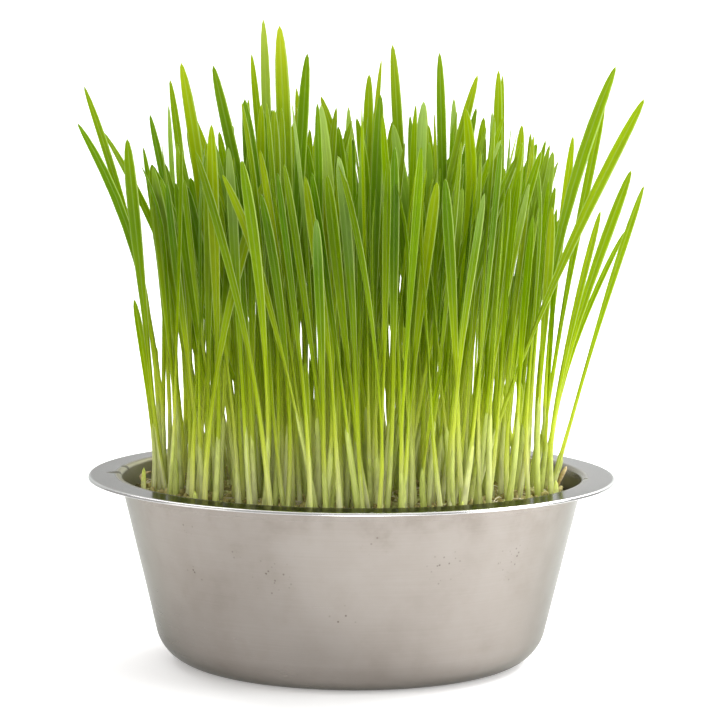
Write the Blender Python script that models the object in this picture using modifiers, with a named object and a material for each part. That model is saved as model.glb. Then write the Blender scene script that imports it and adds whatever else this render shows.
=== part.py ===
"""Wheatgrass grown in a round stainless bowl: bowl, soil and nineteen clumps of grass.

All sizes are in metres, +Z is up, and the origin is the centre of the bowl's base on the table.
The camera side of the bowl is -Y. Each clump is a tile of matted roots with its blades fused in.
"""

import math
import random

import bmesh
import bpy
import numpy as np

# Bowl, outside sizes
RIM_RADIUS = 0.110
BOWL_HEIGHT = 0.078
WALL_RADIUS_TOP = 0.097
WALL_RADIUS_BOTTOM = 0.0783
SHEET = 0.0009
BASE_CORNER_RADIUS = 0.017
SHOULDER_RADIUS = 0.0030
LIP_RADIUS = 0.0008
LIP_END_ANGLE = 0
TURNED_STEPS = 48
BASE_CORNER_STEPS = 4
SHOULDER_STEPS = 3
LIP_STEPS = 3

# Soil and the mat of roots on it
GAP = 0.0004
SOIL_TOP = 0.0676
SOIL_CRUMB = 0.0012
MAT_RADIUS = 0.088
MAT_THICKNESS = 0.003
MAT_BOTTOM = SOIL_TOP + GAP
MAT_TOP = MAT_BOTTOM + MAT_THICKNESS
TILE_RINGS = ((0.0, 0.020, 1), (0.020, 0.054, 6), (0.054, MAT_RADIUS, 12))
TILE_GAP = 0.0004
TILE_ARC_STEP = 8
ROOT_MARGIN = 0.0019
ROOT_SUNK = 0.002

# Blades
SEED = 11
SCATTERED_BLADES = 352
STAND_RADIUS = 0.082
STEM_WIDTH = 0.0018
FOOT_WIDTH = 0.0026
# Height shares of the sections and the thickness at each: more for the tall blades than for the crowd
TALL_STATIONS = ((0.0, 0.27, 0.54, 0.76, 0.92, 1.0), (0.0017, 0.0013, 0.0011, 0.0010, 0.0008, 0.0))
CROWD_STATIONS = ((0.0, 0.38, 0.70, 0.90, 1.0), (0.0017, 0.0012, 0.0010, 0.0008, 0.0))
KEEL_SHARE = 0.65
BLADE_GAP = 0.00025
TEST_LEVELS = 41
TALLEST = 0.200
TRIES = 40
FACING = 20
CROWD_FACING = 80
GOLDEN_ANGLE = math.pi * (3 - math.sqrt(5))
SHARP_ANGLE = math.radians(40)

# The tall blades that make the outline, read from the front, in millimetres:
# root x, root y, tip x, tip y, height above the mat, greatest width, curl
OUTLINE_BLADES = (
    (-80, -12, -90, -14, 80, 3.2, 1.3),
    (-80, -10, -114, -8, 152, 4.8, 2.8),
    (-77, 2, -112, 4, 167, 3.6, 1.8),
    (-59, 16, -105, 18, 148, 4.0, 1.9),
    (-79, -20, -92, -22, 146, 5.2, 1.1),
    (-76, 10, -88, 8, 142, 2.8, 2.2),
    (-79, -2, -78, -4, 124, 2.6, 1.5),
    (-70, 28, -79, 30, 159, 2.4, 1.3),
    (-65, 22, -78, 24, 170, 3.6, 2.0),
    (-57, -12, -71, -10, 177, 5.2, 2.4),
    (-26, -34, -57, -30, 176, 4.8, 1.4),
    (-46, 26, -45, 30, 162, 2.8, 1.5),
    (-34, 12, -43, 12, 181, 3.6, 2.5),
    (-34, -10, -38, -6, 195, 4.0, 1.9),
    (-23, -40, -30, -36, 192, 6.0, 1.5),
    (-26, -50, -19, -50, 181, 5.2, 1.3),
    (-20, 20, -25, 20, 167, 3.2, 2.6),
    (6, -14, -14, -14, 164, 4.4, 3.0),
    (-5, -52, -13, -56, 161, 4.4, 2.4),
    (0, 30, -2, 30, 159, 3.6, 2.0),
    (5, 32, 6, 34, 173, 4.8, 1.5),
    (6, 24, 11, 26, 179, 2.4, 4.0),
    (8, -44, 10, -44, 165, 4.8, 2.0),
    (24, -24, 15, -20, 185, 4.4, 1.5),
    (26, 2, 19, 4, 185, 4.0, 2.0),
    (31, 18, 29, 18, 161, 3.6, 1.5),
    (39, -20, 34, -16, 182, 4.0, 2.0),
    (42, 34, 42, 36, 163, 3.6, 1.5),
    (44, 8, 46, 10, 170, 3.2, 2.0),
    (28, -40, 49, -34, 173, 4.4, 2.4),
    (48, 36, 55, 40, 155, 4.8, 2.6),
    (56, 0, 57, 0, 158, 2.8, 1.5),
    (59, -26, 58, -22, 175, 4.0, 1.5),
    (62, 14, 62, 14, 173, 2.8, 1.5),
    (60, -34, 72, -30, 165, 5.8, 3.2),
    (70, 20, 69, 20, 165, 2.8, 1.5),
    (75, 30, 78, 34, 155, 3.6, 2.5),
    (71, 6, 73, 8, 149, 3.2, 1.5),
    (68, -10, 81, -6, 142, 4.8, 1.4),
    (80, 8, 91, 10, 148, 3.6, 1.7),
    (75, -14, 106, -10, 177, 6.0, 2.3),
    (80, 20, 105, 22, 162, 4.0, 1.3),
    (51, -40, 117, -28, 164, 5.6, 1.3),
    (82, 0, 115, 4, 134, 5.2, 1.6),
    (85, -6, 120, -4, 128, 4.0, 1.2),
    (83, 12, 114, 14, 108, 2.8, 1.8),
    (80, -18, 101, -16, 118, 3.2, 1.5),
    (-58, -62, -35, -62, 132, 4.4, 1.9),
    (-33, -74, -62, -60, 142, 3.6, 1.7),
    (-8, -76, -7, -72, 131, 3.8, 1.5),
)

# Blades that lean out at the front and back: bearing of the root in degrees, height, lean, width
LEANING_BLADES = (
    (-112, 140, 24, 4.6),
    (-98, 118, 20, 4.0),
    (-74, 146, 28, 4.8),
    (-58, 128, 22, 4.2),
    (48, 150, 27, 4.6),
    (66, 138, 24, 4.4),
    (84, 158, 30, 5.0),
    (101, 132, 22, 4.0),
    (118, 150, 28, 4.8),
    (136, 140, 24, 4.2),
)

MILLIMETRE = 0.001

# Colours: linear red, green, blue, then roughness and metallic
BOWL_LOOK = ((0.52, 0.50, 0.48), 0.32, 1.0)
SOIL_LOOK = ((0.030, 0.020, 0.013), 0.95, 0.0)
GRASS_LOOK = ((0.23, 0.42, 0.02), 0.45, 0.0)


def clear_scene():
    for obj in list(bpy.data.objects):
        bpy.data.objects.remove(obj, do_unlink=True)


def make_collection(name):
    collection = bpy.data.collections.new(name)
    bpy.context.scene.collection.children.link(collection)
    return collection


def make_material(name, look):
    colour, roughness, metallic = look
    material = bpy.data.materials.new(name)
    material.use_nodes = True
    shader = material.node_tree.nodes["Principled BSDF"]
    shader.inputs["Base Color"].default_value = (*colour, 1.0)
    shader.inputs["Roughness"].default_value = roughness
    shader.inputs["Metallic"].default_value = metallic
    return material


def add_object(name, data, collection, material):
    obj = bpy.data.objects.new(name, data)
    collection.objects.link(obj)
    data.materials.append(material)
    return obj


def arc(centre, radius, start, end, steps):
    """Points on an arc in the profile's plane, from start to end degrees, both ends included."""
    turns = [math.radians(start + (end - start) * k / steps) for k in range(steps + 1)]
    return [(centre[0] + radius * math.cos(a), centre[1] + radius * math.sin(a)) for a in turns]


def wall_slope():
    """The wall's lean from upright, in radians."""
    return math.atan((WALL_RADIUS_TOP - WALL_RADIUS_BOTTOM) / BOWL_HEIGHT)


def base_corner(inset):
    """The arc from the base to the wall, inset from the bowl's outside."""
    slope = wall_slope()
    centre_x = WALL_RADIUS_BOTTOM + BASE_CORNER_RADIUS * (math.tan(slope) - 1 / math.cos(slope))
    centre = (centre_x, BASE_CORNER_RADIUS)
    return arc(centre, BASE_CORNER_RADIUS - inset, -90, -math.degrees(slope), BASE_CORNER_STEPS)


def wall_radius(height, inset):
    """The wall's radius at a height, inset from the bowl's outside."""
    slope = wall_slope()
    return WALL_RADIUS_BOTTOM + height * math.tan(slope) - inset / math.cos(slope)


def turned(name, profile, collection, material):
    """A profile in the XZ plane, turned once round Z."""
    mesh = bpy.data.meshes.new(name)
    edges = [(k, k + 1) for k in range(len(profile) - 1)]
    mesh.from_pydata([(x, 0.0, z) for x, z in profile], edges, [])
    obj = add_object(name, mesh, collection, material)
    screw = obj.modifiers.new("Turn", "SCREW")
    screw.axis = "Z"
    screw.angle = math.tau
    screw.steps = TURNED_STEPS
    screw.render_steps = TURNED_STEPS
    screw.use_merge_vertices = True
    screw.merge_threshold = 0.0001
    return obj


def bowl_profile():
    """The middle of the sheet, from the lip's end over the rim and down the wall to the base."""
    half = SHEET / 2
    slope = wall_slope()
    flange = BOWL_HEIGHT - half
    lip_centre = (RIM_RADIUS - half - LIP_RADIUS, flange - LIP_RADIUS)
    shoulder_height = flange - SHOULDER_RADIUS
    shoulder_x = wall_radius(shoulder_height, half) + SHOULDER_RADIUS / math.cos(slope)
    lip = arc(lip_centre, LIP_RADIUS, LIP_END_ANGLE, 90, LIP_STEPS)
    shoulder = arc(
        (shoulder_x, shoulder_height), SHOULDER_RADIUS, 90, 180 - math.degrees(slope), SHOULDER_STEPS
    )
    corner = base_corner(half)[::-1]
    return lip + shoulder + corner + [(0.0, half)]


def make_bowl(collection):
    bowl = turned("bowl", bowl_profile(), collection, make_material("steel", BOWL_LOOK))
    sheet = bowl.modifiers.new("Sheet", "SOLIDIFY")
    sheet.thickness = SHEET
    sheet.offset = 0.0
    sheet.use_even_offset = True
    return bowl


def make_soil(collection):
    """Soil up to just under the mat, with a crumbly ring between the mat and the wall."""
    inset = SHEET + GAP
    edge = wall_radius(SOIL_TOP, inset)
    ring_start = MAT_RADIUS + 2 * GAP
    ring = [ring_start + (edge - ring_start) * share for share in (0.0, 0.33, 0.66, 1.0)]
    top = [(0.0, SOIL_TOP)] + [(radius, SOIL_TOP) for radius in ring]
    under = base_corner(inset)[::-1] + [(0.0, inset)]
    material = make_material("soil", SOIL_LOOK)
    blank = turned("soil_blank", top + under, collection, material)
    soil = solid_copy("soil", blank, collection, material)
    inner_top = [vert for vert in soil.data.vertices if abs(vert.co.z - SOIL_TOP) < GAP / 2]
    for vert in inner_top:
        radius = math.hypot(vert.co.x, vert.co.y)
        if ring[0] + GAP < radius < edge - GAP:
            bearing = math.atan2(vert.co.y, vert.co.x)
            lump = math.sin(11 * bearing) * math.sin(17 * bearing + radius / GAP)
            vert.co.z += SOIL_CRUMB * (0.5 + 0.5 * lump)
    soil.data.shade_smooth()
    soil.data.set_sharp_from_angle(angle=SHARP_ANGLE)
    return soil


def solid_copy(name, blank, collection, material):
    """The evaluated shape of an object as a welded mesh object of its own. The object is removed."""
    bpy.context.view_layer.update()
    graph = bpy.context.evaluated_depsgraph_get()
    mesh = bpy.data.meshes.new_from_object(blank.evaluated_get(graph))
    mesh.name = name
    place = blank.matrix_world.copy()
    bpy.data.objects.remove(blank, do_unlink=True)
    work = bmesh.new()
    work.from_mesh(mesh)
    bmesh.ops.remove_doubles(work, verts=work.verts, dist=0.00001)
    work.to_mesh(mesh)
    work.free()
    mesh.materials.clear()
    obj = add_object(name, mesh, collection, material)
    obj.matrix_world = place
    return obj


def tile_bearings(count, number):
    """First and last bearing of a tile in a ring of count tiles."""
    width = math.tau / count
    return number * width, (number + 1) * width


def tile_outline(inner, outer, count, number):
    """The edge of one tile of the mat, drawn in from its neighbours by half the tile gap."""
    half = TILE_GAP / 2
    if count == 1:
        steps = round(360 / (3 * TILE_ARC_STEP))
        return [
            ((outer - half) * math.cos(math.tau * k / steps), (outer - half) * math.sin(math.tau * k / steps))
            for k in range(steps)
        ]
    first, last = tile_bearings(count, number)
    steps = math.ceil(math.degrees(last - first) / TILE_ARC_STEP)
    points = []
    for radius, order in ((outer - half, 1), (inner + half, -1)):
        trim = half / radius
        bearings = [first + trim + (last - first - 2 * trim) * k / steps for k in range(steps + 1)]
        points += [(radius * math.cos(b), radius * math.sin(b)) for b in bearings[::order]]
    return points


def seat(x, y):
    """The tile that a root stands in, and the root moved in from the tile's edges."""
    radius, bearing = math.hypot(x, y), math.atan2(y, x) % math.tau
    tile = 0
    for inner, outer, count in TILE_RINGS:
        if radius >= outer and outer < MAT_RADIUS:
            tile += count
            continue
        if count == 1:
            radius = min(radius, outer - ROOT_MARGIN)
            return tile, radius * math.cos(bearing), radius * math.sin(bearing)
        radius = min(max(radius, inner + ROOT_MARGIN), outer - ROOT_MARGIN)
        number = min(int(bearing / math.tau * count), count - 1)
        first, last = tile_bearings(count, number)
        trim = ROOT_MARGIN / radius
        bearing = min(max(bearing, first + trim), last - trim)
        return tile + number, radius * math.cos(bearing), radius * math.sin(bearing)


def width_at(share, greatest):
    """Blade width: a wider foot, a narrow stem, the leaf at four fifths, then the pointed end."""
    foot = (FOOT_WIDTH - STEM_WIDTH) * max(0.0, 1 - share / 0.22)
    rise = min(max((share - 0.36) / 0.46, 0.0), 1.0)
    leaf = STEM_WIDTH + foot + (greatest - STEM_WIDTH) * rise * rise * (3 - 2 * rise)
    taper = max(0.0, (share - 0.82) / 0.18)
    return leaf * math.sqrt(max(0.0, 1 - taper**2.5))


def sections(blade):
    """Centre x, centre y, half-width x, half-width y and thickness of the blade at each station."""
    rows = []
    for share, thickness in zip(*blade["stations"]):
        bend = share ** blade["curl"]
        half = width_at(share, blade["width"]) / 2
        turn = blade["turn"] + blade["twist"] * share
        rows.append(
            (
                blade["root"][0] + blade["lean"][0] * bend,
                blade["root"][1] + blade["lean"][1] * bend,
                half * math.cos(turn),
                half * math.sin(turn),
                thickness,
            )
        )
    return np.array(rows)


def levels_of(blade):
    """The blade's section at fixed heights over the mat. Heights above its tip hold nan."""
    rows = sections(blade)
    heights = np.array(blade["stations"][0]) * blade["height"]
    levels = np.linspace(0, TALLEST, TEST_LEVELS)
    found = np.stack([np.interp(levels, heights, rows[:, k]) for k in range(5)], axis=1)
    found[levels > blade["height"]] = np.nan
    return found


def point_to_strip(point, centre, half):
    """Distance from points to strips that run from centre - half to centre + half."""
    length = np.maximum((half**2).sum(-1), 1e-12)
    along = np.clip(((point - centre) * half).sum(-1) / length, -1, 1)
    return np.linalg.norm(point - centre - along[..., None] * half, axis=-1)


def is_clear(blade_levels, placed):
    """True if the blade keeps clear of every placed blade at every level."""
    if not placed:
        return True
    others = np.array(placed)
    a, p, a_thick = blade_levels[:, 0:2], blade_levels[:, 2:4], blade_levels[:, 4]
    b, q, b_thick = others[..., 0:2], others[..., 2:4], others[..., 4]
    ends = [
        point_to_strip(a + p, b, q),
        point_to_strip(a - p, b, q),
        point_to_strip(b + q, a, p),
        point_to_strip(b - q, a, p),
    ]
    gap = np.minimum.reduce(ends)
    across = p[:, 0] * q[..., 1] - p[:, 1] * q[..., 0]
    across = np.where(np.abs(across) < 1e-12, 1e-12, across)
    apart = b - a
    on_a = (apart[..., 0] * q[..., 1] - apart[..., 1] * q[..., 0]) / across
    on_b = (apart[..., 0] * p[:, 1] - apart[..., 1] * p[:, 0]) / across
    crossing = (np.abs(on_a) <= 1) & (np.abs(on_b) <= 1)
    needed = KEEL_SHARE * (a_thick + b_thick) + BLADE_GAP
    return not bool((crossing | (gap < needed)).any())


def outline_candidate(row, draw):
    """One of the tall blades, turned roughly to the front, with its depth let vary a little."""
    root_x, root_y, tip_x, tip_y, height, width, curl = row
    shift = draw.uniform(-4, 4)
    tile, x, y = seat(root_x * MILLIMETRE, (root_y + shift) * MILLIMETRE)
    return {
        "tile": tile,
        "stations": TALL_STATIONS,
        "root": (x, y),
        "lean": (tip_x * MILLIMETRE - x, (tip_y + shift) * MILLIMETRE - y),
        "height": height * MILLIMETRE,
        "width": width * MILLIMETRE,
        "curl": curl,
        "turn": math.radians(draw.uniform(-FACING, FACING)),
        "twist": math.radians(draw.uniform(-FACING, FACING)),
    }


def leaning_candidate(row, draw):
    """One of the blades that lean out over the rim at the front and back."""
    bearing, height, lean, width = row
    bearing = math.radians(bearing + draw.uniform(-4, 4))
    radius = STAND_RADIUS - draw.uniform(0, 8) * MILLIMETRE
    tile, x, y = seat(radius * math.cos(bearing), radius * math.sin(bearing))
    out = lean * MILLIMETRE
    return {
        "tile": tile,
        "stations": TALL_STATIONS,
        "root": (x, y),
        "lean": (out * math.cos(bearing), out * math.sin(bearing)),
        "height": height * MILLIMETRE,
        "width": width * MILLIMETRE,
        "curl": draw.uniform(1.4, 2.4),
        "turn": draw.uniform(0, math.pi),
        "twist": math.radians(draw.uniform(-FACING, FACING)),
    }


def scattered_candidate(number, draw):
    """A blade of the crowd: even spacing by the golden angle, with its own height and lean."""
    radius = STAND_RADIUS * math.sqrt((number + 0.5) / SCATTERED_BLADES)
    bearing = number * GOLDEN_ANGLE
    x = radius * math.cos(bearing) + draw.gauss(0, 1.8) * MILLIMETRE
    y = radius * math.sin(bearing) + draw.gauss(0, 1.8) * MILLIMETRE
    tile, x, y = seat(x, y)
    share = radius / STAND_RADIUS
    height = 125 + 38 * draw.random() ** 0.8 - 8 * share**3 - 16 * (x / STAND_RADIUS) ** 4 - 100 * y
    if number % 16 == 3:
        height = 50 + 55 * draw.random()
    spread = height * (0.15 if number % 5 == 2 else 0.09)
    lean_x = 0.05 * x + draw.gauss(0, spread) * MILLIMETRE
    lean_y = 0.05 * y + draw.gauss(0, spread) * MILLIMETRE
    reach = math.hypot(x + lean_x, y + lean_y)
    most = STAND_RADIUS + 2 * MILLIMETRE
    if reach > most:
        lean_x = (x + lean_x) * most / reach - x
        lean_y = (y + lean_y) * most / reach - y
    return {
        "tile": tile,
        "stations": CROWD_STATIONS,
        "root": (x, y),
        "lean": (lean_x, lean_y),
        "height": height * MILLIMETRE,
        "width": draw.uniform(3.0, 5.4) * MILLIMETRE * min(1.0, 0.45 + height / 200),
        "curl": draw.uniform(1.3, 2.2) if number % 3 == 0 else draw.uniform(1.0, 1.5),
        "turn": math.radians(draw.uniform(-CROWD_FACING, CROWD_FACING)),
        "twist": math.radians(draw.uniform(-45, 45)),
    }


def grow_blades():
    """All blades, each drawn again until it stands clear of those before it."""
    draw = random.Random(SEED)
    wanted = [(outline_candidate, row) for row in OUTLINE_BLADES]
    wanted += [(leaning_candidate, row) for row in LEANING_BLADES]
    wanted += [(scattered_candidate, number) for number in range(SCATTERED_BLADES)]
    blades, placed = [], []
    for candidate, what in wanted:
        for _ in range(TRIES):
            blade = candidate(what, draw)
            levels = levels_of(blade)
            if is_clear(levels, placed):
                blades.append(blade)
                placed.append(levels)
                break
    return blades


def blade_mesh(name, blade):
    """A three-sided blade with a flat face and a keel, lofted through its stations to a point."""
    rows = sections(blade)
    heights = [MAT_TOP + share * blade["height"] for share in blade["stations"][0]]
    heights[0] = MAT_TOP - ROOT_SUNK
    work = bmesh.new()
    rings = []
    for (x, y, half_x, half_y, thickness), height in zip(rows[:-1], heights[:-1]):
        half = math.hypot(half_x, half_y)
        back = (-half_y / half * thickness, half_x / half * thickness)
        front = (1 - KEEL_SHARE) * back[0], (1 - KEEL_SHARE) * back[1]
        corners = (
            (x + half_x - front[0], y + half_y - front[1]),
            (x + KEEL_SHARE * back[0], y + KEEL_SHARE * back[1]),
            (x - half_x - front[0], y - half_y - front[1]),
        )
        rings.append([work.verts.new((*corner, height)) for corner in corners])
    tip = work.verts.new((rows[-1][0], rows[-1][1], heights[-1]))
    work.faces.new(rings[0])
    for low, high in zip(rings[:-1], rings[1:]):
        for k in range(3):
            j = (k + 1) % 3
            work.faces.new((low[k], low[j], high[j]))
            work.faces.new((low[k], high[j], high[k]))
    for k in range(3):
        work.faces.new((rings[-1][k], rings[-1][(k + 1) % 3], tip))
    bmesh.ops.recalc_face_normals(work, faces=work.faces)
    mesh = bpy.data.meshes.new(name)
    work.to_mesh(mesh)
    work.free()
    return mesh


def make_tile(name, outline, collection, material):
    """One tile of the root mat: a flat outline with the mat's thickness, as a welded mesh."""
    curve = bpy.data.curves.new(name, "CURVE")
    curve.dimensions = "2D"
    curve.fill_mode = "BOTH"
    curve.extrude = MAT_THICKNESS / 2
    spline = curve.splines.new("POLY")
    spline.points.add(len(outline) - 1)
    for point, (x, y) in zip(spline.points, outline):
        point.co = (x, y, 0.0, 1.0)
    spline.use_cyclic_u = True
    blank = add_object(name + "_blank", curve, collection, material)
    blank.location.z = (MAT_BOTTOM + MAT_TOP) / 2
    return solid_copy(name, blank, collection, material)


def fuse_blades(tile, blades, material):
    """Joins the blades to their tile with one Boolean union, then removes the loose blades."""
    loose = make_collection(tile.name + "_blades")
    for number, blade in enumerate(blades):
        mesh = blade_mesh(f"{tile.name}_blade_{number}", blade)
        add_object(mesh.name, mesh, loose, material)
    union = tile.modifiers.new("Blades", "BOOLEAN")
    union.operation = "UNION"
    union.solver = "EXACT"
    union.operand_type = "COLLECTION"
    union.collection = loose
    bpy.context.view_layer.update()
    graph = bpy.context.evaluated_depsgraph_get()
    joined = bpy.data.meshes.new_from_object(tile.evaluated_get(graph))
    tile.modifiers.clear()
    tile.data = joined
    joined.shade_smooth()
    joined.set_sharp_from_angle(angle=SHARP_ANGLE)
    for obj in list(loose.objects):
        bpy.data.objects.remove(obj, do_unlink=True)
    bpy.data.collections.remove(loose)


def make_grass(collection):
    material = make_material("wheatgrass", GRASS_LOOK)
    blades = grow_blades()
    tile_number = 0
    for ring, (inner, outer, count) in zip(("centre", "middle", "outer"), TILE_RINGS):
        for number in range(count):
            name = f"grass_{ring}_{number + 1}" if count > 1 else f"grass_{ring}"
            outline = tile_outline(inner, outer, count, number)
            tile = make_tile(name, outline, collection, material)
            mine = [blade for blade in blades if blade["tile"] == tile_number]
            fuse_blades(tile, mine, material)
            tile_number += 1
    return len(blades)


def main():
    clear_scene()
    collection = make_collection("wheatgrass_bowl")
    make_bowl(collection)
    make_soil(collection)
    count = make_grass(collection)
    print(f"wheatgrass bowl: {count} blades")


main()
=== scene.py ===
import math
import random

import bpy
import numpy as np
from mathutils import Matrix, Quaternion, Vector


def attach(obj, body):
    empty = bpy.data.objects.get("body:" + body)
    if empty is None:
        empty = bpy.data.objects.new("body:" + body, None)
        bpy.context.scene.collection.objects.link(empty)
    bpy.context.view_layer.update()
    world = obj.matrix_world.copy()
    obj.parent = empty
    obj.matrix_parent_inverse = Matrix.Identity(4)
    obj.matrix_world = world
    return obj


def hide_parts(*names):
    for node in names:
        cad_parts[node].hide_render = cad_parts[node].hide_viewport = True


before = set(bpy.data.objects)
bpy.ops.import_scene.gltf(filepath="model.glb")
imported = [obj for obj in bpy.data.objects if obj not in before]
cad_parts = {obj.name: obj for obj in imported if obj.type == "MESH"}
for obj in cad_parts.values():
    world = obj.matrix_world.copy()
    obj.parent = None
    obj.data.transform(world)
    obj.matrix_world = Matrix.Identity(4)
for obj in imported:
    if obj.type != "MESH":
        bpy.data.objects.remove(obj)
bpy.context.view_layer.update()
millimetre = 0.001

# Camera, light, floor

view = {
    "place": (0.0, -1.1856, 0.2448),
    "pitchDown": 5.748,
    "turnRight": 0.148,
    "roll": 0.468,
    "lens": 142.97,
    "sensor": 36.0,
}

studio = {
    "floorColour": (0.95, 0.95, 0.95),
    "floorGlow": 0.22,
    "floorSize": 6.0,
    "worldColour": (1.0, 1.0, 1.0),
    "worldStrength": 0.62,
    # name: place, aim, size across and up, power in watts, colour, degrees turned in its own plane
    "softboxes": {
        "overhead": ((0.15, 0.20, 1.5), (0.0, 0.0, 0.12), (2.2, 1.7), 11.5, (1.0, 0.99, 0.96), 0),
        "rightSide": ((1.50, -0.50, 0.62), (0.05, 0.0, 0.08), (1.0, 0.9), 14.0, (0.96, 0.985, 1.0), 0),
        "leftSide": ((-1.50, -0.60, 0.58), (0.0, 0.0, 0.08), (0.9, 0.8), 2.5, (1.0, 0.96, 0.92), 0),
        "rightFloor": ((0.75, 0.25, 0.85), (0.33, 0.12, 0.0), (0.5, 0.5), 11.0, (0.96, 0.985, 1.0), 0),
        "front": ((0.30, -2.1, 0.52), (0.0, 0.0, 0.12), (1.5, 0.8), 9.0, (1.0, 1.0, 0.98), 0),
        "fill": ((0.05, -1.5, 0.30), (0.0, 0.0, 0.10), (0.6, 0.4), 7.0, (1.0, 1.0, 0.98), 0),
        "behind": ((0.1, 1.5, 0.80), (0.0, 0.0, 0.15), (1.8, 0.9), 1.5, (1.0, 1.0, 1.0), 0),
        "rightStrip": ((0.75, 0.62, 1.00), (0.0, 0.0, 0.08), (0.20, 1.5), 3.8, (1.0, 1.0, 1.0), 39),
        "leftStrip": ((-0.75, 0.42, 1.08), (0.0, 0.0, 0.08), (0.20, 0.9), 2.4, (1.0, 1.0, 1.0), -35),
        "backdrop": ((0.9, 2.0, 1.6), (0.6, 2.2, 0.1), (2.4, 1.0), 45.0, (1.0, 1.0, 1.0), 0),
    },
}


def makeCamera():
    pitch, turn, roll = (math.radians(view[key]) for key in ("pitchDown", "turnRight", "roll"))
    ahead = Vector((math.sin(turn) * math.cos(pitch), math.cos(turn) * math.cos(pitch), -math.sin(pitch)))
    side = Vector((math.cos(turn), -math.sin(turn), 0.0))
    up = side.cross(ahead)
    right = side * math.cos(roll) + up * math.sin(roll)
    top = up * math.cos(roll) - side * math.sin(roll)
    data = bpy.data.cameras.new("photoCamera")
    data.lens, data.sensor_width, data.sensor_fit = view["lens"], view["sensor"], "HORIZONTAL"
    data.clip_start, data.clip_end = 0.05, 20.0
    camera = bpy.data.objects.new("photoCamera", data)
    bpy.context.scene.collection.objects.link(camera)
    facing = Matrix((right, top, -ahead)).transposed().to_4x4()
    camera.matrix_world = Matrix.Translation(view["place"]) @ facing
    bpy.context.scene.camera = camera


def makeLights():
    for name, (place, aim, size, power, colour, turned) in studio["softboxes"].items():
        data = bpy.data.lights.new(name, "AREA")
        data.shape, data.size, data.size_y = "RECTANGLE", size[0], size[1]
        data.energy, data.color = power, colour
        lamp = bpy.data.objects.new(name, data)
        bpy.context.scene.collection.objects.link(lamp)
        lamp.location = place
        lamp.rotation_mode = "QUATERNION"
        facing = (Vector(aim) - Vector(place)).to_track_quat("-Z", "Y")
        lamp.rotation_quaternion = facing @ Quaternion((0.0, 0.0, 1.0), math.radians(turned))
    world = bpy.data.worlds.new("paleStudio")
    world.use_nodes = True
    sky = world.node_tree.nodes["Background"]
    sky.inputs["Color"].default_value = (*studio["worldColour"], 1.0)
    sky.inputs["Strength"].default_value = studio["worldStrength"]
    bpy.context.scene.world = world
    bpy.context.scene.view_settings.view_transform = "Standard"


# Meshes and materials

def gridFaces(rows, columns, count=1, wrap=True):
    # Quads of count grids of rows x columns points. With wrap the last column meets the first.
    acrossCount = columns if wrap else columns - 1
    row, column = np.meshgrid(np.arange(rows - 1), np.arange(acrossCount), indexing="ij")
    following = (column + 1) % columns
    one = np.stack(
        [row * columns + column, row * columns + following,
         (row + 1) * columns + following, (row + 1) * columns + column], axis=-1
    ).reshape(-1, 4)
    return (one[None] + (np.arange(count) * rows * columns)[:, None, None]).reshape(-1, 4)


def aroundZ(radius, bearing, height):
    # Points from their distance to Z, their bearing and their height.
    return np.stack(np.broadcast_arrays(radius * np.cos(bearing), radius * np.sin(bearing), height), axis=-1)


def ringCaps(rows, columns, count=1):
    # Quads that close the first and the last ring of each grid. The column count is even.
    half = np.arange(columns // 2 - 1)
    fan = np.stack([half, half + 1, columns - 2 - half, columns - 1 - half], axis=-1)
    last = fan[:, ::-1] + (rows - 1) * columns
    both = np.concatenate([fan, last])[:, ::-1]
    return (both[None] + (np.arange(count) * rows * columns)[:, None, None]).reshape(-1, 4)


def newPiece(name, points, faces, material, marks=None, slot=None, replaced=(), sharp=None):
    # Puts whole arrays of points and quads into a mesh. marks are values kept on each point.
    points, faces = np.asarray(points, float).reshape(-1, 3), np.asarray(faces).reshape(-1, 4)
    mesh = bpy.data.meshes.new(name)
    mesh.vertices.add(len(points))
    mesh.vertices.foreach_set("co", points.astype(np.float32).ravel())
    mesh.loops.add(faces.size)
    mesh.loops.foreach_set("vertex_index", faces.astype(np.int32).ravel())
    mesh.polygons.add(len(faces))
    mesh.polygons.foreach_set("loop_start", (np.arange(len(faces)) * 4).astype(np.int32))
    mesh.update(calc_edges=True)
    mesh.validate()
    for key, values in (marks or {}).items():
        layer = mesh.attributes.new(key, "FLOAT", "POINT")
        layer.data.foreach_set("value", np.asarray(values, np.float32).ravel())
    mesh.polygons.foreach_set("use_smooth", np.ones(len(mesh.polygons), bool))
    if sharp is not None:
        pairs = np.zeros(len(mesh.edges) * 2, np.int32)
        mesh.edges.foreach_get("vertices", pairs)
        edges = mesh.attributes.new("sharp_edge", "BOOLEAN", "EDGE")
        edges.data.foreach_set("value", sharp(pairs.reshape(-1, 2)))
    mesh.materials.append(material)
    piece = bpy.data.objects.new(name, mesh)
    bpy.context.scene.collection.objects.link(piece)
    if slot:
        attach(piece, "root")
        if replaced:
            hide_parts(*replaced)
    return piece


def node(tree, kind, settings=None, **inputs):
    # Adds a node. Each input is a value or another node's output. i0 is the first socket, and so on.
    made = tree.nodes.new(kind)
    for key, value in (settings or {}).items():
        setattr(made, key, value)
    for key, value in inputs.items():
        socket = made.inputs[int(key[1:]) if key[1:].isdigit() else key]
        if isinstance(value, bpy.types.NodeSocket):
            tree.links.new(value, socket)
        else:
            socket.default_value = value
    return made


def maths(tree, operation, first, second=0.0, clamp=False):
    kept = {"operation": operation, "use_clamp": clamp}
    return node(tree, "ShaderNodeMath", kept, i0=first, i1=second).outputs[0]


def times(tree, first, second):
    return maths(tree, "MULTIPLY", first, second)


def plus(tree, first, second, clamp=False):
    return maths(tree, "ADD", first, second, clamp)


def minus(tree, first, second, clamp=False):
    return maths(tree, "SUBTRACT", first, second, clamp)


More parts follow.
